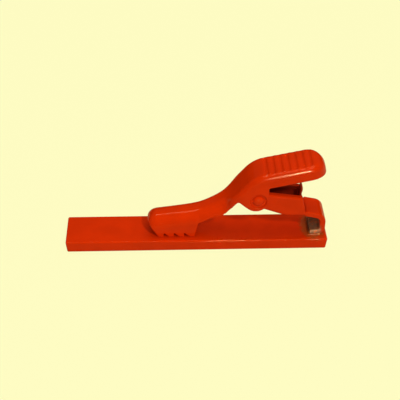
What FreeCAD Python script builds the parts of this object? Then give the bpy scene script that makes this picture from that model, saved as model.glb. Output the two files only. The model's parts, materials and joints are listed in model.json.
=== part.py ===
import FreeCAD, Part
import math
import os

# A toothed spring clip brazed on the end of a flat bar, so that the jaw grips what lies on the bar.
# Millimetres. X runs along the bar towards the end that carries the clip, Y across it, Z up.
# The origin is the centre of the bar's underside. Side views are drawn in (x, z), plans in (x, y).

# Bar
bar_length = 50.0
bar_width = 8.0
bar_height = 2.3
bar_end_draft = 0.22
bar_side_draft = 0.08
bar_corner_radius = 0.3
bar_edge_radius = 0.2

# Pivot of the lever, from the bar's end and from the bar's top face
pivot_from_end = 13.65
pivot_height = 8.8

# Bracket: a channel open at the top, drawn out behind into a strip that curls down to the bar
bracket_width = 5.0
bracket_sheet = 1.1
bracket_bend_radius = 0.7
cheek_nose_reach = 2.0
cheek_nose_radius = 1.0
cheek_top_height = 1.0
cheek_top_fall = 8.0
cheek_length = 9.3
cheek_rear_rake = 12.0
cheek_rim_radius = 0.45
web_front_reach = 0.9
web_front_drop = 1.5
web_knee_reach = 5.6
web_knee_height = 5.5
web_knee_radius = 2.0
web_rear_height = 5.45
tail_end_gap = 0.45
tail_fall = 12.5
tail_top_radius = 2.2
tail_foot_radius = 1.6
foot_length = 3.0
foot_corner_radius = 0.3

# Lever: one pressed sheet that is jaw, ears and thumb pad
lever_sheet = 0.8
lever_side_gap = 0.25
least_edge_radius = 0.1
jaw_width = 5.45
jaw_reach = 21.2
jaw_rise = 7.5
jaw_crest_flat = 0.45
nose_corner_radius = 1.9
dip_reach = 7.4
dip_height = 5.82
dip_radius = 13.5
shoulder_reach = 0.85
shoulder_height = 5.24
shoulder_radius = 6.5
pad_rise = 12.3
pad_reach = 12.5
pad_end_flat = 0.9
pad_edge_radius = 1.1
pad_end_edge_radius = 2.2
pad_end_growth_gap = 1.0
flare_start_reach = 6.0
flare_end_reach = 3.0
flare_radius = 4.0

# Lower edge of the lever's sides: lip, teeth, belly, ear and skirt
closed_gap = 0.02
lip_height = 2.8
lip_length = 0.6
tooth_count = 4
tooth_pitch = 1.95
tooth_land = 0.9
tooth_depth = 0.95
tooth_setback = 2.6
heel_length = 0.75
heel_height = 3.6
belly_reach = 8.4
belly_height = 4.15
belly_radius = 8.0
ear_root_reach = 3.65
ear_root_drop = 0.25
ear_front_shift = 0.4
ear_rim = 0.7
skirt_height = 3.0
skirt_rise = 12.7
skirt_bend_reach = 10.4
skirt_end_rise = 1.0
skirt_radius = 8.0
cut_corner_radius = 0.3

# Grip grooves pressed across the pad
groove_count = 7
groove_pitch = 1.34
groove_start_reach = 1.2
groove_radius = 0.6
groove_depth = 0.2
groove_length = 5.6

# Rivet
rivet_radius = 0.9
rivet_head_rim = 0.25
rivet_dome_height = 0.65
rivet_running_gap = 0.05
dimple_gap = 0.4
dimple_depth = 0.4

# Leaf spring: a strip bent to a C between the bracket's web and the pad
spring_sheet = 0.35
spring_side_gap = 0.35
spring_lower_radius = 1.9
spring_upper_radius = 3.9
spring_leg_reach = 1.7
spring_back_reach = 8.4
spring_back_lean = 0.5
spring_upper_reach = 2.1
spring_pad_gap = 0.1

# Braze around the bracket's foot
braze_reach = 0.35
braze_height = 0.3
braze_slope_in = 0.25

# Room that a cutting body needs to pass right through, how near counts as touching, and as one point
spare = 3.0
near = 0.01
no_length = 1e-6

bar_top = bar_height
pivot_x = bar_length / 2 - pivot_from_end
pivot_z = bar_top + pivot_height
bracket_half = bracket_width / 2
ear_half = bracket_half + lever_side_gap + lever_sheet
rivet_head_radius = rivet_radius + rivet_head_rim
dimple_radius = rivet_head_radius + dimple_gap
ear_radius = dimple_radius + ear_rim
spring_half = bracket_half - bracket_sheet - spring_side_gap
jaw_half = jaw_width / 2
jaw_edge_radius = jaw_half - jaw_crest_flat / 2
pad_corner_radius = ear_half - pad_end_flat / 2
jaw_front = pivot_x - jaw_reach
pad_end = pivot_x + pad_reach
tooth_tip_z = bar_top + closed_gap


def slope(degrees):
    return math.tan(math.radians(degrees))


def unit(a, b):
    length = math.hypot(b[0] - a[0], b[1] - a[1])
    return (b[0] - a[0]) / length, (b[1] - a[1]) / length


def crossing(p, u, q, v):
    # Where the line through p along u meets the line through q along v
    t = ((q[0] - p[0]) * v[1] - (q[1] - p[1]) * v[0]) / (u[0] * v[1] - u[1] * v[0])
    return p[0] + t * u[0], p[1] + t * u[1]


def turn(a, b, c):
    # Positive where the path a, b, c turns left at b
    u, v = unit(a, b), unit(b, c)
    return u[0] * v[1] - u[1] * v[0]


def shifted(points, radii, distance, closed):
    # The same path moved to its left by a distance, with the radii of its corners kept concentric
    count = len(points)
    lines = []
    for i in range(count if closed else count - 1):
        u = unit(points[i], points[(i + 1) % count])
        start = (points[i][0] - u[1] * distance, points[i][1] + u[0] * distance)
        lines.append((start, u))
    moved, bends = [], []
    for i in range(count):
        if closed or 0 < i < count - 1:
            side = turn(points[i - 1], points[i], points[(i + 1) % count])
            moved.append(crossing(*lines[i - 1], *lines[i]))
            change = -distance if side > 0 else distance
            bends.append(max(radii[i] + change, 0.0) if radii[i] else 0.0)
        elif i == 0:
            moved.append(lines[0][0])
            bends.append(0.0)
        else:
            u = lines[-1][1]
            moved.append((points[i][0] - u[1] * distance, points[i][1] + u[0] * distance))
            bends.append(0.0)
    return moved, bends


def outline(points, radii, place):
    # A closed wire through the corner points, each corner rounded by its radius; place gives the 3-D point
    count = len(points)
    starts, ends, middles = [], [], []
    for i in range(count):
        a, b, c = points[i - 1], points[i], points[(i + 1) % count]
        back, ahead = unit(b, a), unit(b, c)
        bend = math.acos(max(-1.0, min(1.0, back[0] * ahead[0] + back[1] * ahead[1])))
        reach = radii[i] / math.tan(bend / 2) if radii[i] else 0.0
        starts.append((b[0] + back[0] * reach, b[1] + back[1] * reach))
        ends.append((b[0] + ahead[0] * reach, b[1] + ahead[1] * reach))
        across = (back[0] + ahead[0], back[1] + ahead[1])
        length = math.hypot(*across)
        pull = radii[i] / math.sin(bend / 2) - radii[i] if radii[i] else 0.0
        middles.append((b[0] + across[0] / length * pull, b[1] + across[1] / length * pull))
    edges = []
    for i in range(count):
        following = (i + 1) % count
        if radii[i]:
            edges.append(Part.Arc(place(starts[i]), place(middles[i]), place(ends[i])).toShape())
        if math.dist(ends[i], starts[following]) > no_length:
            edges.append(Part.makeLine(place(ends[i]), place(starts[following])))
    return Part.Wire(edges)


def side_slab(points, radii, half_width):
    # A side view made solid across Y, the same on both sides of the middle
    wire = outline(points, radii, lambda p: FreeCAD.Vector(p[0], -half_width, p[1]))
    return Part.Face(wire).extrude(FreeCAD.Vector(0, 2 * half_width, 0))


def leaning_slab(points, radii, low, high, lean):
    # A plan made solid upwards, leaning towards the front by a slope; the plan is true at z = 0
    wire = outline(points, radii, lambda p: FreeCAD.Vector(p[0] - low * lean, p[1], low))
    return Part.Face(wire).extrude(FreeCAD.Vector((low - high) * lean, 0, high - low))


def strip(points, radii, thickness):
    # The closed side view of a bent strip whose right-hand face follows the path
    inner, inner_radii = shifted(points, radii, thickness, False)
    return list(points) + inner[::-1], list(radii) + inner_radii[::-1]


def cross_cylinder(radius, x, z, low, high):
    return Part.makeCylinder(radius, high - low, FreeCAD.Vector(x, low, z), FreeCAD.Vector(0, 1, 0))


def edges_along(body, least_x, low, high):
    # The edges that run along the bar, from some x on and between two heights
    found = []
    for edge in body.Edges:
        box = edge.BoundBox
        along = box.YLength < near and box.XLength > near and box.ZLength < box.XLength
        if along and box.XMin > least_x + near and box.ZMin > low and box.ZMax < high:
            found.append(edge)
    return found


def one_solid(shape):
    # The plain solid of a shape that boolean steps may have wrapped
    cleaned = shape.removeSplitter()
    return cleaned.Solids[0] if len(cleaned.Solids) == 1 else cleaned


def make_bar():
    half_length = bar_length / 2
    half_width = bar_width / 2
    low_length = half_length - bar_end_draft
    low_width = half_width - bar_side_draft
    wires = []
    for x, y, z in ((low_length, low_width, 0.0), (half_length, half_width, bar_height)):
        corners = [(-x, -y), (x, -y), (x, y), (-x, y)]
        radii = [bar_corner_radius] * len(corners)
        wires.append(outline(corners, radii, lambda p, height=z: FreeCAD.Vector(p[0], p[1], height)))
    body = Part.makeLoft(wires, True, True)
    rim = [edge for edge in body.Edges if edge.BoundBox.ZMin > bar_height - near]
    return one_solid(body.makeFillet(bar_edge_radius, rim))


def web_path():
    # Top face of the bracket's web, from its front end back to where the cheeks end
    rear_x = pivot_x + cheek_length
    return [
        (pivot_x + web_front_reach, pivot_z - web_front_drop),
        (pivot_x + web_knee_reach, bar_top + web_knee_height),
        (rear_x, bar_top + web_rear_height),
    ]


def tail_path():
    # Outer face of the strip: back from the web, down in a curl and forward again as the foot on the bar
    start = web_path()[-1]
    back_x = bar_length / 2 - tail_end_gap
    return [
        start,
        (back_x, start[1] - (back_x - start[0]) * slope(tail_fall)),
        (back_x, bar_top),
        (back_x - foot_length, bar_top),
    ]


def make_tail():
    # Walked from the foot up to the web, the path has the sheet on its left
    path = tail_path()[::-1]
    radii = [0.0, tail_foot_radius, tail_top_radius, 0.0]
    body = side_slab(*strip(path, radii, bracket_sheet), bracket_half)
    front = path[0][0]
    rims = []
    for edge in body.Edges:
        box = edge.BoundBox
        if box.XMax < front + near and box.YLength < near:
            rims.append(edge)
    return body.makeFillet(foot_corner_radius, rims)


def make_bracket():
    web = web_path()
    under, _ = shifted(web, [0.0, web_knee_radius, 0.0], -bracket_sheet, False)
    rear_x = web[-1][0]
    top_z = pivot_z + cheek_top_height
    rear_top_z = top_z - (rear_x - pivot_x) * slope(cheek_top_fall)
    rake = (rear_top_z - under[-1][1]) * slope(cheek_rear_rake)
    nose_x = pivot_x - cheek_nose_reach
    nose_low = (nose_x, pivot_z - cheek_nose_reach)
    nose_top = (nose_x, top_z + cheek_nose_reach * slope(cheek_top_fall))
    corners = [
        nose_low,
        crossing(nose_low, (1.0, 0.0), under[0], unit(under[0], under[1])),
        under[1],
        under[2],
        (rear_x - rake, rear_top_z + rake * slope(cheek_top_fall)),
        nose_top,
    ]
    radii = [cheek_nose_radius, 0.0, web_knee_radius + bracket_sheet, 0.0, 0.0, cheek_nose_radius]
    channel = side_slab(corners, radii, bracket_half)
    bend_x = pivot_x - cheek_nose_reach / 2
    channel = channel.makeFillet(bracket_bend_radius, edges_along(channel, bend_x, bar_top, web[0][1]))
    rims = edges_along(channel, nose_x, web[0][1], 2 * pivot_z)
    channel = channel.makeFillet(cheek_rim_radius, rims)
    reach = spare * 2
    fall = (web[0][1] - web[1][1]) / (web[1][0] - web[0][0])
    hollow = [
        (web[0][0] - reach, web[0][1] + reach * fall),
        web[1],
        (rear_x + spare, web[2][1] - spare * (web[1][1] - web[2][1]) / (web[2][0] - web[1][0])),
        (rear_x + spare, top_z + reach),
        (web[0][0] - reach, top_z + reach),
    ]
    inner_half = bracket_half - bracket_sheet
    channel = channel.cut(side_slab(hollow, [0.0, web_knee_radius, 0.0, 0.0, 0.0], inner_half))
    mouth_length = web[0][0] - nose_x + spare
    mouth_corner = FreeCAD.Vector(nose_x - spare, -inner_half, bar_top)
    channel = channel.cut(Part.makeBox(mouth_length, 2 * inner_half, 2 * pivot_z, mouth_corner))
    body = channel.fuse(make_tail())
    rivet_hole = cross_cylinder(rivet_radius, pivot_x, pivot_z, -bracket_width, bracket_width)
    return one_solid(body.cut(rivet_hole))


def pad_height(x):
    # Height of the pad's top face above the bar's underside
    return pivot_z + shoulder_height + (x - pivot_x + shoulder_reach) * slope(pad_rise)


def lever_side():
    # Side view of the lever's outer top face, closed well below it
    dip = (pivot_x - dip_reach, bar_top + dip_height)
    shoulder = (pivot_x - shoulder_reach, pivot_z + shoulder_height)
    front_x = jaw_front - spare
    rear_x = pad_end + spare
    corners = [
        (front_x, -spare),
        (rear_x, -spare),
        (rear_x, pad_height(rear_x)),
        shoulder,
        dip,
        (front_x, dip[1] - (dip[0] - front_x) * slope(jaw_rise)),
    ]
    return corners, [0.0, 0.0, 0.0, shoulder_radius, dip_radius, 0.0]


def lever_plan():
    # The plan at z = 0 of walls that stand square to the pad, so that nose and pad end come right higher up
    lean = slope(pad_rise)
    nose_x = jaw_front + (bar_top + lip_height) * lean
    flare_start = pivot_x - flare_start_reach + pivot_z * lean
    flare_end = pivot_x - flare_end_reach + pivot_z * lean
    end_x = pad_end + (pivot_z + shoulder_height) * lean
    near_side = [(nose_x, -jaw_half), (flare_start, -jaw_half), (flare_end, -ear_half), (end_x, -ear_half)]
    far_side = [(x, -y) for x, y in near_side[::-1]]
    radii = [nose_corner_radius, flare_radius, flare_radius, pad_corner_radius]
    return near_side + far_side, radii + radii[::-1]


def between(x, start, end, low, high):
    # From low to high as x goes from start to end, and steady outside them
    share = min(max((x - start) / (end - start), 0.0), 1.0)
    return low + share * (high - low)


def edge_radius(x):
    # The lever is rounder along its jaw and at the pad's end than along the pad
    if x < pivot_x:
        start = pivot_x - dip_reach - dip_radius / 2
        end = pivot_x - shoulder_reach - shoulder_radius / 2
        return between(x, start, end, jaw_edge_radius, pad_edge_radius)
    start = pad_end - pad_corner_radius
    return between(x, start, pad_end - pad_end_growth_gap, pad_edge_radius, pad_end_edge_radius)


def lever_block(inset):
    # The solid block under the lever's outer face, or the smaller one that hollows it
    side = side_slab(*shifted(*lever_side(), inset, True), bar_width)
    low, high = -spare / 2, pivot_z * 2 + spare
    lean = slope(pad_rise)
    block = side.common(leaning_slab(*shifted(*lever_plan(), inset, True), low, high, lean))
    rims = []
    for number, edge in enumerate(block.Edges, 1):
        start = edge.valueAt(edge.FirstParameter)
        end = edge.valueAt(edge.LastParameter)
        run = end - start
        leans = abs(run.y) < near and abs(run.x + run.z * lean) < near
        seam = abs(run.x) < near and jaw_front + spare < start.x < pad_end - spare
        if min(start.z, end.z) > low + near and not leans and not seam:
            radii = [max(edge_radius(point.x) - inset, least_edge_radius) for point in (start, end)]
            rims.append((number, *radii))
    document = FreeCAD.newDocument()
    plain = document.addObject("Part::Feature", "Block")
    plain.Shape = block
    rounded = document.addObject("Part::Fillet", "Rounded")
    rounded.Base = plain
    rounded.Edges = rims
    document.recompute()
    result = rounded.Shape.copy()
    FreeCAD.closeDocument(document.Name)
    return result


def side_limit():
    # Side view of everything that the lever's sides keep: above the lip, teeth, belly, ear and skirt
    lip_z = bar_top + lip_height
    corners = [(jaw_front - spare, lip_z), (jaw_front + lip_length, lip_z)]
    radii = [0.0, cut_corner_radius]
    tooth_x = jaw_front + tooth_setback
    for tooth in range(tooth_count):
        start = tooth_x + tooth * tooth_pitch
        corners += [(start, tooth_tip_z), (start + tooth_land, tooth_tip_z)]
        radii += [0.0, 0.0]
        if tooth < tooth_count - 1:
            corners.append((start + tooth_land, tooth_tip_z + tooth_depth))
            radii.append(0.0)
    heel_x = corners[-1][0] + heel_length
    corners += [
        (heel_x, bar_top + heel_height),
        (pivot_x - belly_reach, bar_top + belly_height),
        (pivot_x - ear_root_reach, pivot_z - ear_root_drop),
    ]
    radii += [cut_corner_radius, belly_radius, cut_corner_radius]
    # The ear's rounded end is a tangent from its root, a circle a little before the pivot and an upright
    root = corners[-1]
    ear_x = pivot_x - ear_front_shift
    span = math.dist(root, (ear_x, pivot_z))
    heading = math.atan2(ear_root_drop, ear_x - root[0]) - math.asin(ear_radius / span)
    floor_z = pivot_z - ear_radius
    right_x = ear_x + ear_radius
    corners.append(crossing(root, (math.cos(heading), math.sin(heading)), (root[0], floor_z), (1.0, 0.0)))
    radii.append(ear_radius)
    corners.append((right_x, floor_z))
    radii.append(ear_radius)
    skirt = (right_x, pivot_z + skirt_height)
    bend_x = pivot_x + skirt_bend_reach
    bend_z = skirt[1] + (bend_x - right_x) * slope(skirt_rise)
    end_x = pad_end + spare
    end_z = bend_z + (end_x - bend_x) * slope(skirt_end_rise)
    corners += [skirt, (bend_x, bend_z), (end_x, end_z)]
    radii += [cut_corner_radius, skirt_radius, 0.0]
    top = pad_height(end_x) + spare
    corners += [(end_x, top), (jaw_front - spare, top)]
    radii += [0.0, 0.0]
    return corners, radii


def groove(index):
    # One round-ended groove across the pad, at right angles to its slope
    x = pivot_x + groove_start_reach + index * groove_pitch
    lift = (groove_radius - groove_depth) / math.cos(math.radians(pad_rise))
    z = pad_height(x) + lift
    reach = groove_length / 2 - groove_radius
    cutter = cross_cylinder(groove_radius, x, z, -reach, reach)
    for y in (-reach, reach):
        cutter = cutter.fuse(Part.makeSphere(groove_radius, FreeCAD.Vector(x, y, z)))
    return cutter


def make_jaw_lever():
    body = lever_block(0.0).cut(lever_block(lever_sheet))
    body = body.common(side_slab(*side_limit(), bar_width))
    for index in range(groove_count):
        body = body.cut(groove(index))
    hole_radius = rivet_radius + rivet_running_gap
    body = body.cut(cross_cylinder(hole_radius, pivot_x, pivot_z, -bar_width, bar_width))
    floor_y = ear_half - dimple_depth
    for low, high in ((-bar_width, -floor_y), (floor_y, bar_width)):
        body = body.cut(cross_cylinder(dimple_radius, pivot_x, pivot_z, low, high))
    return one_solid(body)


def make_rivet():
    seat = ear_half - dimple_depth + rivet_running_gap
    shaft_half = seat + rivet_dome_height / 2
    body = cross_cylinder(rivet_radius, pivot_x, pivot_z, -shaft_half, shaft_half)
    dome_radius = (rivet_head_radius**2 + rivet_dome_height**2) / (2 * rivet_dome_height)
    for side in (-1, 1):
        centre = FreeCAD.Vector(pivot_x, side * (seat + rivet_dome_height - dome_radius), pivot_z)
        low, high = sorted((side * seat, side * (seat + rivet_dome_height)))
        head = cross_cylinder(rivet_head_radius, pivot_x, pivot_z, low, high)
        body = body.fuse(head.common(Part.makeSphere(dome_radius, centre)))
    return one_solid(body)


def make_leaf_spring():
    web = web_path()
    front_fall = (web[0][1] - web[1][1]) / (web[1][0] - web[0][0])
    rear_fall = (web[1][1] - web[2][1]) / (web[2][0] - web[1][0])
    leg_x = pivot_x + spring_leg_reach
    back_x = pivot_x + spring_back_reach
    high_x = back_x - spring_back_lean
    end_x = pivot_x + spring_upper_reach
    drop = (lever_sheet + spring_pad_gap) / math.cos(math.radians(pad_rise))
    path = [
        (leg_x, web[0][1] - (leg_x - web[0][0]) * front_fall),
        web[1],
        (back_x, web[1][1] - (back_x - web[1][0]) * rear_fall),
        (high_x, pad_height(high_x) - drop),
        (end_x, pad_height(end_x) - drop),
    ]
    radii = [0.0, web_knee_radius, spring_lower_radius, spring_upper_radius, 0.0]
    return side_slab(*strip(path, radii, spring_sheet), spring_half)


def make_braze_bead(bracket):
    # A low sloping bead around the foot, filling the corner between it and the bar
    foot = tail_path()
    low_x = foot[-1][0] - braze_reach
    high_x = bar_length / 2 - tail_end_gap - tail_foot_radius / 2
    half = bracket_half + braze_reach
    wires = []
    for inset, z in ((0.0, bar_top), (braze_slope_in, bar_top + braze_height)):
        corners = [
            (low_x + inset, inset - half),
            (high_x - inset, inset - half),
            (high_x - inset, half - inset),
            (low_x + inset, half - inset),
        ]
        radii = [braze_reach] * len(corners)
        wires.append(outline(corners, radii, lambda p, height=z: FreeCAD.Vector(p[0], p[1], height)))
    return one_solid(Part.makeLoft(wires, True, True).cut(bracket))


def main():
    os.makedirs("parts", exist_ok=True)
    bracket = make_bracket()
    parts = {
        "bar": make_bar(),
        "bracket": bracket,
        "jaw_lever": make_jaw_lever(),
        "pivot_rivet": make_rivet(),
        "leaf_spring": make_leaf_spring(),
        "braze_bead": make_braze_bead(bracket),
    }
    for name, shape in parts.items():
        shape.exportStep("parts/" + name + ".step")
        print(name, len(shape.Solids), shape.isValid(), round(shape.Volume, 3))


if __name__ == "__main__":
    main()
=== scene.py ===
import json
import math

import bmesh
import bpy
from bpy.props import FloatProperty, FloatVectorProperty, IntProperty, PointerProperty
from bpy.types import Operator, Panel, PropertyGroup
from mathutils import Matrix, Vector
from mathutils import noise as turbulence


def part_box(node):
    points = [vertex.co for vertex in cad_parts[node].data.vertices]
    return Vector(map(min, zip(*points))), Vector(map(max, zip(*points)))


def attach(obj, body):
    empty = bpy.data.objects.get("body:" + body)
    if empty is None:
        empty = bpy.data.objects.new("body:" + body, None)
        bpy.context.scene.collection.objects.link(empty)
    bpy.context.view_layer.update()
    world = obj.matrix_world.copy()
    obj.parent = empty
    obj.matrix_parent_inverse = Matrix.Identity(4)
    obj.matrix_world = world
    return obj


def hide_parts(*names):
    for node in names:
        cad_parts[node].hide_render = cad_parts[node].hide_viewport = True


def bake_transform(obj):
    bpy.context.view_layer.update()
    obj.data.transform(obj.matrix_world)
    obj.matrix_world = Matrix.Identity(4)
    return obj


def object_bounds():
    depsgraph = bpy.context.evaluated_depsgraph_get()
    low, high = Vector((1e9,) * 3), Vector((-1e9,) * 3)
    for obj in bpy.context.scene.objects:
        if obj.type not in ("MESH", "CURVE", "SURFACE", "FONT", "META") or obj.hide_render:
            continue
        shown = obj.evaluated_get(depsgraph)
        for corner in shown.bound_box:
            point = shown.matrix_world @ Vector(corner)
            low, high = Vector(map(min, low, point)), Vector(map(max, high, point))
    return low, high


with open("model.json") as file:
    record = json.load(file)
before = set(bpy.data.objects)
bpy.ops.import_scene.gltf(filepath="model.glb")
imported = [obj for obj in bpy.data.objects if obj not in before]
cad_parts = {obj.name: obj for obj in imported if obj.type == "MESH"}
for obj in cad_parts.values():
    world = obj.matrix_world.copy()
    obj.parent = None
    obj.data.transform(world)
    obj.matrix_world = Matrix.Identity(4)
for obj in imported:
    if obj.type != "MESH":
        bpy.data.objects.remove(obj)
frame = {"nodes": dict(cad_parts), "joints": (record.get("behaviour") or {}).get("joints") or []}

bl_info = {
    "name": "Spring clip with bar",
    "version": (1, 0, 0),
    "blender": (4, 5, 0),
    "location": "3D View > Sidebar > Spring clip",
    "description": "Builds the enamelled spring clip on its bar, with its paint, braze and studio",
    "category": "Object",
}

MM = 0.001

CAD_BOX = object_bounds()
PIVOT = Vector(frame["joints"][0]["pos_m"])


class ClipPaint(PropertyGroup):
    enamel: FloatVectorProperty(
        name="Enamel",
        description="Colour of the glossy red-orange enamel",
        subtype="COLOR", size=3, min=0.0, max=1.0, default=(0.68, 0.028, 0.0),
    )
    # Also the colour of the painted shade on the inward faces of the sheets.
    spring_enamel: FloatVectorProperty(
        name="Spring enamel",
        description="Colour of the thin dark enamel on the leaf spring and inside the sheets",
        subtype="COLOR", size=3, min=0.0, max=1.0, default=(0.30, 0.018, 0.006),
    )
    braze: FloatVectorProperty(
        name="Braze",
        description="Colour of the bare braze around the bracket's foot",
        subtype="COLOR", size=3, min=0.0, max=1.0, default=(0.85, 0.47, 0.14),
    )
    flux: FloatVectorProperty(
        name="Flux",
        description="Colour of the enamel and steel browned by flux",
        subtype="COLOR", size=3, min=0.0, max=1.0, default=(0.38, 0.05, 0.004),
    )
    steel: FloatVectorProperty(
        name="Bare steel",
        description="Colour of the bracket's bare foot",
        subtype="COLOR", size=3, min=0.0, max=1.0, default=(0.12, 0.048, 0.026),
    )
    # Lighter colour on sharp edges: paint rubbed thin, and a painted highlight along the edges.
    wear_and_edge_highlight: FloatVectorProperty(
        name="Rubbed and highlit edge",
        description="Colour of the paint where it is rubbed thin",
        subtype="COLOR", size=3, min=0.0, max=1.0, default=(0.5, 0.12, 0.06),
    )
    gleam: FloatVectorProperty(
        name="Gleam",
        description="Tint of what the enamel mirrors head on",
        subtype="COLOR", size=3, min=0.0, max=1.0, default=(1.0, 0.85, 0.6),
    )
    crust: FloatVectorProperty(
        name="Crust",
        description="Colour of the crust in the flux on the braze",
        subtype="COLOR", size=3, min=0.0, max=1.0, default=(0.30, 0.05, 0.004),
    )
    roughness: FloatProperty(
        name="Roughness", description="Roughness of the enamel", default=0.09, min=0.0, max=1.0,
    )
    peel_size: FloatProperty(
        name="Orange peel size",
        description="Distance from one swell of the enamel to the next",
        unit="LENGTH", default=0.9 * MM, min=0.05 * MM,
    )
    peel_depth: FloatProperty(
        name="Orange peel depth",
        description="Height of the swells in the enamel",
        unit="LENGTH", default=0.004 * MM, min=0.0,
    )


class ClipMesh(PropertyGroup):
    voxel: FloatProperty(
        name="Sheet fineness",
        description="Size of the mesh cells on the pressed sheets",
        unit="LENGTH", default=0.09 * MM, min=0.03 * MM,
    )
    smoothing: IntProperty(
        name="Smoothing",
        description="How many times the paint's edges are smoothed",
        default=8, min=0,
    )
    spring_sheet: FloatProperty(
        name="Spring sheet",
        description="Thickness of the leaf spring",
        unit="LENGTH", default=0.35 * MM, min=0.05 * MM,
    )


class ClipStudio(PropertyGroup):
    backdrop: FloatVectorProperty(
        name="Backdrop",
        description="Colour of the floor and backdrop",
        subtype="COLOR", size=3, min=0.0, max=1.0, default=(0.36, 0.35, 0.20),
    )
    glow: FloatVectorProperty(
        name="Backdrop glow",
        description="Colour of the light that the backdrop seems to give off",
        subtype="COLOR", size=3, min=0.0, max=2.0, default=(1.08, 1.06, 0.60),
    )
    glow_share: FloatProperty(
        name="Glow share", description="How much of the backdrop is its glow", default=0.88, min=0.0, max=1.0,
    )
    lamp: FloatVectorProperty(
        name="Lamps",
        description="Colour of the studio lamps",
        subtype="COLOR", size=3, min=0.0, max=1.0, default=(1.0, 0.97, 0.72),
    )
    camera_place: FloatVectorProperty(
        name="Camera place",
        description="Where the camera stands",
        unit="LENGTH", size=3, default=(-6.1077 * MM, -140.726 * MM, 117.661 * MM),
    )
    camera_yaw: FloatProperty(
        name="Camera yaw", description="Turn of the camera from the Y axis towards X",
        subtype="ANGLE", default=math.radians(2.735),
    )
    camera_fall: FloatProperty(
        name="Camera fall", description="Angle by which the camera looks down",
        subtype="ANGLE", default=math.radians(37.628),
    )
    camera_roll: FloatProperty(
        name="Camera roll", description="Turn of the camera about its own axis",
        subtype="ANGLE", default=math.radians(0.877),
    )
    camera_lens: FloatProperty(
        name="Camera lens", description="Focal length on a 36 mm sensor, in millimetres",
        default=84.62, min=1.0,
    )


class ClipSettings(PropertyGroup):
    paint: PointerProperty(type=ClipPaint)
    mesh: PointerProperty(type=ClipMesh)
    studio: PointerProperty(type=ClipStudio)


def settings():
    return bpy.context.scene.spring_clip


# Node groups


def feed(tree, value, socket):
    """Give a socket another node's result, or a plain value."""
    if isinstance(value, bpy.types.NodeSocket):
        tree.links.new(value, socket)
    else:
        socket.default_value = value


def work_out(tree, operation, *values):
    """The result of a Math node on plain values or other nodes' results."""
    node = tree.nodes.new("ShaderNodeMath")
    node.operation = operation
    for value, socket in zip(values, node.inputs):
        feed(tree, value, socket)
    return node.outputs[0]


def vector_work(tree, operation, *values):
    """The node that does a vector operation on places or directions."""
    node = tree.nodes.new("ShaderNodeVectorMath")
    node.operation = operation
    for value, socket in zip(values, node.inputs):
        feed(tree, value, socket)
    return node


def stretch(tree, value, low, high, to_low, to_high):
    """A value that goes from to_low to to_high as the given one goes from low to high."""
    node = tree.nodes.new("ShaderNodeMapRange")
    node.interpolation_type = "SMOOTHSTEP"
    for label, given in (
        ("Value", value), ("From Min", low), ("From Max", high), ("To Min", to_low), ("To Max", to_high),
    ):
        feed(tree, given, node.inputs[label])
    return node.outputs["Result"]


def blend_colour(tree, mask, below, above):
    """The colour below where the mask is 0 and the one above where it is 1."""
    node = tree.nodes.new("ShaderNodeMix")
    node.data_type = "RGBA"
    feed(tree, mask, node.inputs[0])
    feed(tree, below, node.inputs[6])
    feed(tree, above, node.inputs[7])
    return node.outputs[2]


def noise(tree, place, frequency, detail):
    """Even noise around 0.5 at a place of the object."""
    node = tree.nodes.new("ShaderNodeTexNoise")
    feed(tree, place, node.inputs["Vector"])
    feed(tree, frequency, node.inputs["Scale"])
    feed(tree, detail, node.inputs["Detail"])
    return node.outputs["Fac"]


def new_group(name, inputs, outputs):
    """A new node group with its named sockets, and its two end nodes."""
    group = bpy.data.node_groups.new(name, "ShaderNodeTree")
    for label, kind, value in inputs:
        socket = group.interface.new_socket(label, in_out="INPUT", socket_type=kind)
        socket.default_value = value
    for label, kind in outputs:
        group.interface.new_socket(label, in_out="OUTPUT", socket_type=kind)
    return group, group.nodes.new("NodeGroupInput").outputs, group.nodes.new("NodeGroupOutput").inputs


def enamel_surface():
    """Slow swells of sprayed and baked enamel, with a slight unevenness of its colour and gloss, and painted
    shade darkening its concave creases.
    """
    if "Enamel surface" in bpy.data.node_groups:
        return bpy.data.node_groups["Enamel surface"]
    group, given, out = new_group(
        "Enamel surface",
        [("Colour", "NodeSocketColor", (0.7, 0.03, 0.0, 1.0)),
         ("Swell", "NodeSocketFloat", 0.9 * MM),
         ("Unevenness", "NodeSocketFloat", 0.06),
         ("Crease shade", "NodeSocketFloat", 0.5),
         ("Roughness", "NodeSocketFloat", 0.15)],
        [("Colour", "NodeSocketColor"), ("Roughness", "NodeSocketFloat"), ("Height", "NodeSocketFloat")],
    )
    place = group.nodes.new("ShaderNodeTexCoord").outputs["Object"]
    peel = noise(group, place, work_out(group, "DIVIDE", 1.0, given["Swell"]), 2.0)
    cloud = noise(group, place, work_out(group, "DIVIDE", 0.25, given["Swell"]), 3.0)
    dark = work_out(group, "SUBTRACT", 1.0, given["Unevenness"])
    light = work_out(group, "ADD", 1.0, given["Unevenness"])
    # Painted shade: the colour is darkened where the surface is concave, in creases and corners.
    point = group.nodes.new("ShaderNodeNewGeometry").outputs["Pointiness"]
    painted_crease_shade = stretch(group, point, 0.40, 0.49, given["Crease shade"], 0.0)
    shade = stretch(group, cloud, 0.3, 0.7, dark, light)
    value = work_out(group, "MULTIPLY", shade, work_out(group, "SUBTRACT", 1.0, painted_crease_shade))
    tone = group.nodes.new("ShaderNodeHueSaturation")
    feed(group, given["Colour"], tone.inputs["Color"])
    feed(group, value, tone.inputs["Value"])
    feed(group, tone.outputs["Color"], out["Colour"])
    gloss = stretch(group, peel, 0.3, 0.7, 0.8, 1.2)
    feed(group, work_out(group, "MULTIPLY", gloss, given["Roughness"]), out["Roughness"])
    feed(group, peel, out["Height"])
    return group


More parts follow.
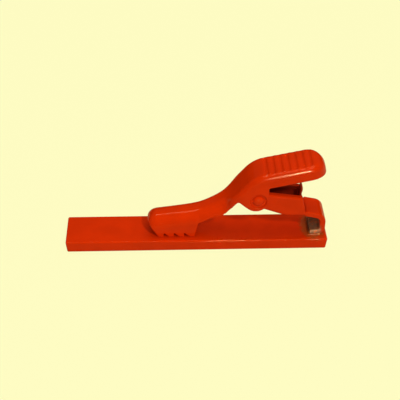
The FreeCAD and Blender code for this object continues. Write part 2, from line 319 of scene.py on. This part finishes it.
def stain():
    """A ragged patch around a place: 1 inside, fading to 0 at its edge."""
    if "Stain" in bpy.data.node_groups:
        return bpy.data.node_groups["Stain"]
    group, given, out = new_group(
        "Stain",
        [("Centre", "NodeSocketVector", (0.0, 0.0, 0.0)),
         ("Size", "NodeSocketVector", (MM, MM, MM)),
         ("Fade", "NodeSocketFloat", 0.3),
         ("Raggedness", "NodeSocketFloat", 0.4)],
        [("Mask", "NodeSocketFloat")],
    )
    place = group.nodes.new("ShaderNodeTexCoord").outputs["Object"]
    offset = vector_work(group, "SUBTRACT", place, given["Centre"]).outputs["Vector"]
    share = vector_work(group, "DIVIDE", offset, given["Size"]).outputs["Vector"]
    reach = vector_work(group, "LENGTH", share).outputs["Value"]
    rag = work_out(group, "SUBTRACT", noise(group, place, 1.3 / MM, 3.0), 0.5)
    reach = work_out(group, "MULTIPLY_ADD", rag, given["Raggedness"], reach)
    inner = work_out(group, "SUBTRACT", 1.0, given["Fade"])
    outer = work_out(group, "ADD", 1.0, given["Fade"])
    feed(group, stretch(group, reach, inner, outer, 1.0, 0.0), out["Mask"])
    return group


def rubbed_and_highlit_edge():
    """Where the paint is rubbed thin on sharp outer edges, in patches, which also paints a highlight along
    these edges.
    """
    if "Rubbed and highlit edge" in bpy.data.node_groups:
        return bpy.data.node_groups["Rubbed and highlit edge"]
    group, given, out = new_group(
        "Rubbed and highlit edge",
        [("Sharpness", "NodeSocketFloat", 0.6),
         ("Patch", "NodeSocketFloat", MM)],
        [("Mask", "NodeSocketFloat")],
    )
    point = group.nodes.new("ShaderNodeNewGeometry").outputs["Pointiness"]
    place = group.nodes.new("ShaderNodeTexCoord").outputs["Object"]
    sharpest = work_out(group, "ADD", given["Sharpness"], 0.05)
    sharp = stretch(group, point, given["Sharpness"], sharpest, 0.0, 1.0)
    frequency = work_out(group, "DIVIDE", 1.0, given["Patch"])
    patch = stretch(group, noise(group, place, frequency, 2.0), 0.5, 0.62, 0.0, 1.0)
    feed(group, work_out(group, "MULTIPLY", sharp, patch), out["Mask"])
    return group


def painted_inner_shade():
    """The faces that look inwards across the part, where painted shade darkens the colour."""
    if "Painted inner shade" in bpy.data.node_groups:
        return bpy.data.node_groups["Painted inner shade"]
    group, given, out = new_group("Painted inner shade", [], [("Mask", "NodeSocketFloat")])
    normal = group.nodes.new("ShaderNodeNewGeometry").outputs["Normal"]
    place = group.nodes.new("ShaderNodeTexCoord").outputs["Object"]
    facing = group.nodes.new("ShaderNodeSeparateXYZ")
    feed(group, normal, facing.inputs[0])
    side = group.nodes.new("ShaderNodeSeparateXYZ")
    feed(group, place, side.inputs[0])
    across = work_out(group, "MULTIPLY", facing.outputs["Y"], side.outputs["Y"])
    feed(group, stretch(group, across, -1.3 * MM, -0.8 * MM, 1.0, 0.0), out["Mask"])
    return group


# Materials


def new_material(name):
    """A new material, its node tree and its Principled shader."""
    material = bpy.data.materials.new(name)
    material.use_nodes = True
    return material, material.node_tree, material.node_tree.nodes["Principled BSDF"]


def placed_group(tree, group, **values):
    """A node group in a material, with its own values."""
    node = tree.nodes.new("ShaderNodeGroup")
    node.node_tree = group
    for label, value in values.items():
        node.inputs[label].default_value = value
    return node.outputs


def enamel_on(tree, shader, colour, unevenness):
    """Glossy enamel: its gloss and peel on the shader, and its colour for the layers above."""
    paint = settings().paint
    surface = placed_group(
        tree, enamel_surface(), Colour=(*colour, 1.0), Swell=paint.peel_size, Unevenness=unevenness,
        Roughness=paint.roughness,
    )
    bump = tree.nodes.new("ShaderNodeBump")
    bump.inputs["Strength"].default_value = 1.0
    bump.inputs["Distance"].default_value = paint.peel_depth
    feed(tree, surface["Height"], bump.inputs["Height"])
    feed(tree, bump.outputs["Normal"], shader.inputs["Normal"])
    shader.inputs["IOR"].default_value = 1.5
    shader.inputs["Specular IOR Level"].default_value = 0.15
    shader.inputs["Specular Tint"].default_value = (*paint.gleam, 1.0)
    return surface["Colour"], surface["Roughness"]


def plain_enamel(name, colour, unevenness):
    """Enamel with a little wear and a painted highlight on its edges, and painted shade inside the sheet."""
    material, tree, shader = new_material(name)
    shown, rough = enamel_on(tree, shader, colour, unevenness)
    # Sharp edges get a lighter colour: wear, and a painted highlight.
    wear_and_edge_highlight = placed_group(tree, rubbed_and_highlit_edge(), Sharpness=0.62, Patch=1.4 * MM)["Mask"]
    shown = blend_colour(tree, wear_and_edge_highlight, shown, (*settings().paint.wear_and_edge_highlight, 1.0))
    # Painted shade: the inward faces of the sheets take the dark spring colour.
    inside = placed_group(tree, painted_inner_shade())["Mask"]
    shown = blend_colour(tree, inside, shown, (*settings().paint.spring_enamel, 1.0))
    feed(tree, shown, shader.inputs["Base Color"])
    feed(tree, rough, shader.inputs["Roughness"])
    return material


def bar_enamel():
    """Enamel on the bar, browned by flux where the bracket's foot is brazed on."""
    material, tree, shader = new_material("Bar enamel")
    paint = settings().paint
    shown, rough = enamel_on(tree, shader, paint.enamel, 0.05)
    low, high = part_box("braze_bead")
    middle = ((low.x + high.x) / 2, 0.0, low.z)
    ring = placed_group(
        tree, stain(), Centre=middle, Size=(2.3 * MM, 3.9 * MM, 1.0 * MM), Fade=0.25, Raggedness=0.6
    )["Mask"]
    # Sharp edges get a lighter colour: wear, and a painted highlight.
    wear_and_edge_highlight = placed_group(tree, rubbed_and_highlit_edge(), Sharpness=0.62, Patch=1.4 * MM)["Mask"]
    shown = blend_colour(tree, wear_and_edge_highlight, shown, (*paint.wear_and_edge_highlight, 1.0))
    feed(tree, blend_colour(tree, ring, shown, (*paint.flux, 1.0)), shader.inputs["Base Color"])
    feed(tree, stretch(tree, ring, 0.0, 1.0, rough, 0.4), shader.inputs["Roughness"])
    return material


def bracket_enamel():
    """Enamel on the bracket, left off the foot, whose steel is brown from the torch."""
    material, tree, shader = new_material("Bracket enamel")
    paint = settings().paint
    shown, rough = enamel_on(tree, shader, paint.enamel, 0.05)
    low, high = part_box("braze_bead")
    foot = ((low.x + high.x) / 2 - 0.9 * MM, 0.0, low.z + 0.9 * MM)
    bare = placed_group(
        tree, stain(), Centre=foot, Size=(2.9 * MM, 4.4 * MM, 2.4 * MM), Fade=0.15, Raggedness=0.3
    )["Mask"]
    # Sharp edges get a lighter colour: wear, and a painted highlight.
    wear_and_edge_highlight = placed_group(tree, rubbed_and_highlit_edge(), Sharpness=0.6, Patch=1.4 * MM)["Mask"]
    place = tree.nodes.new("ShaderNodeTexCoord").outputs["Object"]
    mottle = noise(tree, place, 1.6 / MM, 4.0)
    steel = blend_colour(
        tree, stretch(tree, mottle, 0.25, 0.55, 0.0, 1.0), (*paint.flux, 1.0), (*paint.steel, 1.0)
    )
    shown = blend_colour(tree, wear_and_edge_highlight, shown, (*paint.wear_and_edge_highlight, 1.0))
    # Painted shade: the inward faces of the sheets take the dark spring colour.
    inside = placed_group(tree, painted_inner_shade())["Mask"]
    shown = blend_colour(tree, inside, shown, (*paint.spring_enamel, 1.0))
    feed(tree, blend_colour(tree, bare, shown, steel), shader.inputs["Base Color"])
    feed(tree, stretch(tree, bare, 0.0, 1.0, rough, 0.6), shader.inputs["Roughness"])
    feed(tree, work_out(tree, "MULTIPLY", bare, 0.25), shader.inputs["Metallic"])
    return material


def braze_material():
    """Braze under brown flux, with its brass showing at the near rear corner."""
    material, tree, shader = new_material("Braze")
    paint = settings().paint
    low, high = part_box("braze_bead")
    corner = (high.x - 0.1 * MM, low.y + 0.45 * MM, high.z)
    shine = placed_group(
        tree, stain(), Centre=corner, Size=(0.55 * MM, 0.4 * MM, 0.5 * MM), Fade=0.25, Raggedness=0.7
    )["Mask"]
    place = tree.nodes.new("ShaderNodeTexCoord").outputs["Object"]
    crust = noise(tree, place, 2.2 / MM, 4.0)
    brown = blend_colour(
        tree, stretch(tree, crust, 0.35, 0.65, 0.0, 1.0), (*paint.flux, 1.0), (*paint.crust, 1.0)
    )
    feed(tree, blend_colour(tree, shine, brown, (*paint.braze, 1.0)), shader.inputs["Base Color"])
    feed(tree, stretch(tree, crust, 0.3, 0.7, 0.28, 0.5), shader.inputs["Roughness"])
    feed(tree, work_out(tree, "MULTIPLY", shine, 0.8), shader.inputs["Metallic"])
    bump = tree.nodes.new("ShaderNodeBump")
    bump.inputs["Strength"].default_value = 1.0
    bump.inputs["Distance"].default_value = 0.03 * MM
    feed(tree, crust, bump.inputs["Height"])
    feed(tree, bump.outputs["Normal"], shader.inputs["Normal"])
    shader.inputs["Specular IOR Level"].default_value = 0.06
    return material


def finish(name):
    """The finish of that name, made when it is first asked for."""
    made = bpy.data.materials.get(name)
    if made:
        return made
    paint = settings().paint
    if name == "Enamel":
        return plain_enamel(name, paint.enamel, 0.05)
    if name == "Spring enamel":
        return plain_enamel(name, paint.spring_enamel, 0.15)
    if name == "Bar enamel":
        return bar_enamel()
    if name == "Bracket enamel":
        return bracket_enamel()
    return braze_material()


# Meshes


def new_object(name, mesh):
    """A new object in the scene."""
    piece = bpy.data.objects.new(name, mesh)
    bpy.context.scene.collection.objects.link(piece)
    return piece


def evaluated_mesh(piece):
    """The piece's mesh with its modifiers applied."""
    graph = bpy.context.evaluated_depsgraph_get()
    graph.update()
    return bpy.data.meshes.new_from_object(piece.evaluated_get(graph))


def painted_copy(node, name, voxel, smoothing):
    """A fine copy of a node with its edges rounded as paint rounds them."""
    source = frame["nodes"][node].data.copy()
    work = bmesh.new()
    work.from_mesh(source)
    bmesh.ops.remove_doubles(work, verts=work.verts, dist=0.002 * MM)
    work.to_mesh(source)
    work.free()
    source.materials.clear()
    piece = new_object(name, source)
    remesh = piece.modifiers.new("Cells", "REMESH")
    remesh.mode = "VOXEL"
    remesh.voxel_size = voxel
    smooth = piece.modifiers.new("Paint", "SMOOTH")
    smooth.factor = 0.5
    smooth.iterations = smoothing
    fine = evaluated_mesh(piece)
    piece.modifiers.clear()
    piece.data = fine
    fine.name = name
    fine.shade_smooth()
    bpy.data.meshes.remove(source)
    return piece


def softened(piece, share, rounds):
    """Smooth a piece further where share, worked out from a point, says so."""
    group = piece.vertex_groups.new(name="soft")
    for vertex in piece.data.vertices:
        weight = share(vertex.co)
        if weight > 0.0:
            group.add([vertex.index], min(weight, 1.0), "REPLACE")
    smooth = piece.modifiers.new("Softer", "SMOOTH")
    smooth.factor = 0.5
    smooth.iterations = rounds
    smooth.vertex_group = group.name
    soft = evaluated_mesh(piece)
    piece.modifiers.clear()
    piece.vertex_groups.clear()
    rough = piece.data
    soft.name = piece.name
    piece.data = soft
    bpy.data.meshes.remove(rough)
    soft.shade_smooth()


def lumpy(piece, size, depth, floor_z):
    """Push a piece's skin in and out by noise, except where it lies on what is below."""
    for vertex in piece.data.vertices:
        if vertex.co.z > floor_z:
            swell = turbulence.noise(vertex.co / size)
            vertex.co += vertex.normal * swell * depth


def dress(piece, material_name):
    """Give a piece its finish."""
    piece.data.materials.clear()
    piece.data.materials.append(finish(material_name))


# Pieces


def painted_piece(node, body, material_name):
    """A painted copy of a node, dressed and riding on its body."""
    mesh = settings().mesh
    piece = painted_copy(node, "painted_" + node, mesh.voxel, mesh.smoothing)
    dress(piece, material_name)
    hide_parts(node)
    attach(piece, body)
    return piece


class CLIP_OT_bar(Operator):
    """Build the flat bar."""

    bl_idname = "clip.bar"
    bl_label = "Bar"

    def execute(self, context):
        painted_piece("bar", "base", "Bar enamel")
        return {"FINISHED"}


class CLIP_OT_bracket(Operator):
    """Build the bracket that carries the lever."""

    bl_idname = "clip.bracket"
    bl_label = "Bracket"

    def execute(self, context):
        painted_piece("bracket", "base", "Bracket enamel")
        return {"FINISHED"}


def bump(x, middle, reach):
    """A smooth hump that is 1 at the middle and 0 from some reach on."""
    off = abs(x - middle) / reach
    return 0.5 + 0.5 * math.cos(math.pi * off) if off < 1.0 else 0.0


def deepen_neck(piece):
    """Draw the lower rim of the lever's sides down and out, behind the teeth and in front of the ears."""
    bin_length = 0.2 * MM
    tops, rims = {}, {}
    for vertex in piece.data.vertices:
        column = round(vertex.co.x / bin_length)
        tops[column] = max(tops.get(column, vertex.co.z), vertex.co.z)
        if abs(vertex.co.y) > 2.0 * MM:
            rims[column] = min(rims.get(column, vertex.co.z), vertex.co.z)
    heel_x = PIVOT.x - 11.1 * MM
    heel_drop = 0.45 * MM
    neck_x = PIVOT.x - 6.1 * MM
    neck_drop = 0.80 * MM
    neck_swell = 0.25 * MM
    for vertex in piece.data.vertices:
        x = vertex.co.x
        behind_teeth = bump(x, heel_x, 0.9 * MM if x < heel_x else 2.2 * MM)
        before_ears = bump(x, neck_x, 2.4 * MM)
        if behind_teeth + before_ears == 0.0 or abs(vertex.co.y) < 1.0 * MM:
            continue
        column = round(x / bin_length)
        depth = (tops[column] - vertex.co.z) / (tops[column] - rims.get(column, vertex.co.z - MM))
        depth = min(max(depth, 0.0), 1.0)
        share = depth * depth * (3.0 - 2.0 * depth)
        vertex.co.z -= share * (heel_drop * behind_teeth + neck_drop * before_ears)
        vertex.co.y += math.copysign(share * neck_swell * before_ears, vertex.co.y)
    piece.data.update()


def notch_groove_ends(piece):
    """Carry each grip groove a little further over the pad's rounded edges."""
    pad_rise = math.radians(12.3)
    groove_pitch = 1.34 * MM / math.cos(pad_rise)
    first_groove = 1.2 * MM * math.cos(pad_rise) + 5.68 * MM * math.sin(pad_rise)
    groove_count = 7
    half_width = 0.5 * MM
    notch_depth = 0.14 * MM
    for vertex in piece.data.vertices:
        place = vertex.co - PIVOT
        side = abs(place.y)
        if place.z < 3.0 * MM or not 2.3 * MM < side < 3.35 * MM:
            continue
        along = place.x * math.cos(pad_rise) + place.z * math.sin(pad_rise) - first_groove
        groove = round(along / groove_pitch)
        if not 0 <= groove < groove_count:
            continue
        off = abs(along - groove * groove_pitch) / half_width
        if off < 1.0:
            fade = bump(side, 2.8 * MM, 0.55 * MM)
            vertex.co -= vertex.normal * notch_depth * fade * (1.0 - off * off)


def dimple_rim(place):
    """How far the rim of the rivet's dimple is softened at a place on the lever."""
    off_pivot = math.hypot(place.x - PIVOT.x, place.z - PIVOT.z)
    if abs(place.y) < 3.0 * MM or not 1.0 * MM < off_pivot < 2.1 * MM:
        return 0.0
    return 1.0 - abs(off_pivot - 1.55 * MM) / (0.55 * MM)


class CLIP_OT_jaw_lever(Operator):
    """Build the lever with its jaw, teeth, ears and thumb pad."""

    bl_idname = "clip.jaw_lever"
    bl_label = "Jaw lever"

    def execute(self, context):
        piece = painted_piece("jaw_lever", "lever", "Enamel")
        deepen_neck(piece)
        notch_groove_ends(piece)
        softened(piece, dimple_rim, 6)
        return {"FINISHED"}


class CLIP_OT_pivot_rivet(Operator):
    """Build the rivet that the lever turns on."""

    bl_idname = "clip.pivot_rivet"
    bl_label = "Pivot rivet"

    def execute(self, context):
        painted_piece("pivot_rivet", "base", "Enamel")
        return {"FINISHED"}


def fill_rear_bend(piece):
    """Draw the spring's rear bend up at its top corner and back at mid height."""
    low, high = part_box("leaf_spring")
    corner = Vector((high.x, 0.0, high.z))
    middle = (low.z + high.z) / 2
    for vertex in piece.data.vertices:
        away = (Vector((vertex.co.x, 0.0, vertex.co.z)) - corner).length
        vertex.co.x += bump(away, 0.0, 2.6 * MM) * 0.40 * MM
        vertex.co.z += bump(away, 0.0, 5.0 * MM) * 0.65 * MM
        at_rear = bump(vertex.co.x - high.x, 0.0, 2.0 * MM)
        at_middle = bump(vertex.co.z - middle, 0.0, 1.8 * MM)
        vertex.co.x += at_rear * at_middle * 0.30 * MM


class CLIP_OT_leaf_spring(Operator):
    """Build the leaf spring that closes the jaw."""

    bl_idname = "clip.leaf_spring"
    bl_label = "Leaf spring"

    def execute(self, context):
        mesh = settings().mesh
        piece = painted_copy("leaf_spring", "bent_leaf_spring", mesh.voxel, 2)
        dress(piece, "Spring enamel")
        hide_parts("leaf_spring")
        fill_rear_bend(piece)
        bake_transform(piece)
        return {"FINISHED"}


class CLIP_OT_braze_bead(Operator):
    """Build the braze around the bracket's foot."""

    bl_idname = "clip.braze_bead"
    bl_label = "Braze bead"

    def execute(self, context):
        piece = painted_piece("braze_bead", "base", "Braze")
        lumpy(piece, 0.5 * MM, 0.12 * MM, CAD_BOX[0][2] + 2.35 * MM)
        return {"FINISHED"}


# Studio


def floor_material():
    """A pale floor that the camera, gloss and glass see nearly as bright as its colour, with its shadows."""
    material, tree, shader = new_material("Floor")
    studio = settings().studio
    shader.inputs["Base Color"].default_value = (*studio.backdrop, 1.0)
    shader.inputs["Roughness"].default_value = 0.9
    shader.inputs["Specular IOR Level"].default_value = 0.0
    path = tree.nodes.new("ShaderNodeLightPath").outputs
    seen = work_out(tree, "MAXIMUM", path["Is Camera Ray"], path["Is Transmission Ray"])
    mirrored = work_out(tree, "MULTIPLY", path["Is Glossy Ray"], 0.3)
    seen = work_out(tree, "MAXIMUM", seen, mirrored)
    glow = tree.nodes.new("ShaderNodeEmission")
    glow.inputs["Color"].default_value = (*studio.glow, 1.0)
    mix = tree.nodes.new("ShaderNodeMixShader")
    feed(tree, work_out(tree, "MULTIPLY", seen, studio.glow_share), mix.inputs["Fac"])
    feed(tree, shader.outputs["BSDF"], mix.inputs[1])
    feed(tree, glow.outputs["Emission"], mix.inputs[2])
    feed(tree, mix.outputs["Shader"], tree.nodes["Material Output"].inputs["Surface"])
    return material


def make_floor():
    """The floor under the bar, wide enough to be the backdrop too."""
    mesh = bpy.data.meshes.new("floor")
    reach = 1.5
    corners = [(x * reach, y * reach, 0.0) for x, y in ((-1, -1), (1, -1), (1, 1), (-1, 1))]
    mesh.from_pydata(corners, [], [(0, 1, 2, 3)])
    floor = new_object("floor", mesh)
    floor.location.z = CAD_BOX[0][2] - 0.02 * MM
    floor.data.materials.append(floor_material())


def make_flag():
    """A black card behind the clip that only gloss sees, so the enamel doesn't mirror the far floor."""
    left, right = -0.5, 0.2
    behind, top = 0.12, 0.06
    mesh = bpy.data.meshes.new("flag")
    corners = [(left, behind, 0.0), (right, behind, 0.0), (right, behind, top), (left, behind, top)]
    mesh.from_pydata(corners, [], [(0, 1, 2, 3)])
    flag = new_object("flag", mesh)
    black, _, shader = new_material("Flag")
    shader.inputs["Base Color"].default_value = (0.0, 0.0, 0.0, 1.0)
    shader.inputs["Specular IOR Level"].default_value = 0.0
    flag.data.materials.append(black)
    flag.visible_camera = False
    flag.visible_diffuse = False
    flag.visible_transmission = False
    flag.visible_shadow = False


def light_world(scene):
    """Even light from all around, dimmer in what the enamel mirrors."""
    world = bpy.data.worlds.new("Studio")
    scene.world = world
    world.use_nodes = True
    tree = world.node_tree
    background = tree.nodes["Background"]
    background.inputs["Color"].default_value = (*settings().studio.lamp, 1.0)
    path = tree.nodes.new("ShaderNodeLightPath").outputs
    strength = stretch(tree, path["Is Glossy Ray"], 0.0, 1.0, 0.40, 0.10)
    feed(tree, strength, background.inputs["Strength"])


def add_lamp(name, place, target, size, power, mirrored=False, spread=None):
    """A lamp that only lights, or, when it is mirrored, only shows in the gloss."""
    data = bpy.data.lights.new(name, "AREA")
    data.shape = "RECTANGLE"
    data.size, data.size_y = size
    data.energy = power
    data.color = settings().studio.lamp
    if spread is not None:
        data.spread = spread
    lamp = bpy.data.objects.new(name, data)
    lamp.location = place
    look = Vector(target) - Vector(place)
    lamp.rotation_euler = look.to_track_quat("-Z", "Y").to_euler()
    lamp.visible_diffuse = not mirrored
    lamp.visible_glossy = mirrored
    bpy.context.scene.collection.objects.link(lamp)


def add_lamps():
    """Three lamps that light the clip, and three that its gloss mirrors."""
    middle = (0.0, 0.0, 0.008)
    add_lamp("softbox", (0.05, 0.10, 0.42), middle, (0.36, 0.24), 0.50)
    add_lamp("key", (0.115, -0.26, 0.30), middle, (0.035, 0.035), 0.62)
    add_lamp("front", (0.05, -0.6, 0.12), middle, (0.5, 0.2), 0.80)
    add_lamp("strip", (0.02, 0.04, 0.42), middle, (0.42, 0.05), 0.62, mirrored=True)
    pad = (0.0193, -0.0034, 0.0176)
    narrow = math.radians(8)
    add_lamp(
        "window", (0.0120, -0.241, 0.0946), pad, (0.014, 0.08), 0.0007, mirrored=True, spread=narrow
    )
    add_lamp(
        "glint", (0.0200, -0.241, 0.0946), pad, (0.006, 0.05), 0.0420, mirrored=True, spread=narrow
    )


def place_camera(scene):
    """The camera at the place and angles in the settings."""
    studio = settings().studio
    data = bpy.data.cameras.new("camera")
    data.sensor_width = 36.0
    data.lens = studio.camera_lens
    data.clip_start = 0.01
    camera = bpy.data.objects.new("camera", data)
    scene.collection.objects.link(camera)
    yaw, fall, roll = studio.camera_yaw, studio.camera_fall, studio.camera_roll
    ahead = Vector((math.sin(yaw) * math.cos(fall), math.cos(yaw) * math.cos(fall), -math.sin(fall)))
    level = Vector((math.cos(yaw), -math.sin(yaw), 0.0))
    above = level.cross(ahead)
    right = level * math.cos(roll) + above * math.sin(roll)
    up = above * math.cos(roll) - level * math.sin(roll)
    turned = Matrix((right, up, -ahead)).transposed().to_4x4()
    camera.matrix_world = Matrix.Translation(studio.camera_place) @ turned
    scene.camera = camera


class CLIP_OT_stage(Operator):
    """Build the floor, the lamps and the camera."""

    bl_idname = "clip.stage"
    bl_label = "Stage"

    def execute(self, context):
        context.scene.view_settings.view_transform = "Standard"
        make_floor()
        make_flag()
        light_world(context.scene)
        add_lamps()
        place_camera(context.scene)
        return {"FINISHED"}


OPERATORS = (
    CLIP_OT_bar,
    CLIP_OT_bracket,
    CLIP_OT_jaw_lever,
    CLIP_OT_pivot_rivet,
    CLIP_OT_leaf_spring,
    CLIP_OT_braze_bead,
    CLIP_OT_stage,
)


class CLIP_PT_panel(Panel):
    """The pieces and settings of the spring clip."""

    bl_idname = "CLIP_PT_panel"
    bl_label = "Spring clip"
    bl_space_type = "VIEW_3D"
    bl_region_type = "UI"
    bl_category = "Spring clip"

    def draw(self, context):
        for operator in OPERATORS:
            self.layout.operator(operator.bl_idname)
        for group in (settings().paint, settings().mesh, settings().studio):
            for name in type(group).__annotations__:
                self.layout.prop(group, name)


CLASSES = (ClipPaint, ClipMesh, ClipStudio, ClipSettings, *OPERATORS, CLIP_PT_panel)


def register():
    for cls in CLASSES:
        bpy.utils.register_class(cls)
    bpy.types.Scene.spring_clip = PointerProperty(type=ClipSettings)


def unregister():
    del bpy.types.Scene.spring_clip
    for cls in reversed(CLASSES):
        bpy.utils.unregister_class(cls)


def main():
    register()
    bpy.ops.clip.bar()
    bpy.ops.clip.bracket()
    bpy.ops.clip.jaw_lever()
    bpy.ops.clip.pivot_rivet()
    bpy.ops.clip.leaf_spring()
    bpy.ops.clip.braze_bead()
    bpy.ops.clip.stage()


if __name__ == "__main__":
    main()
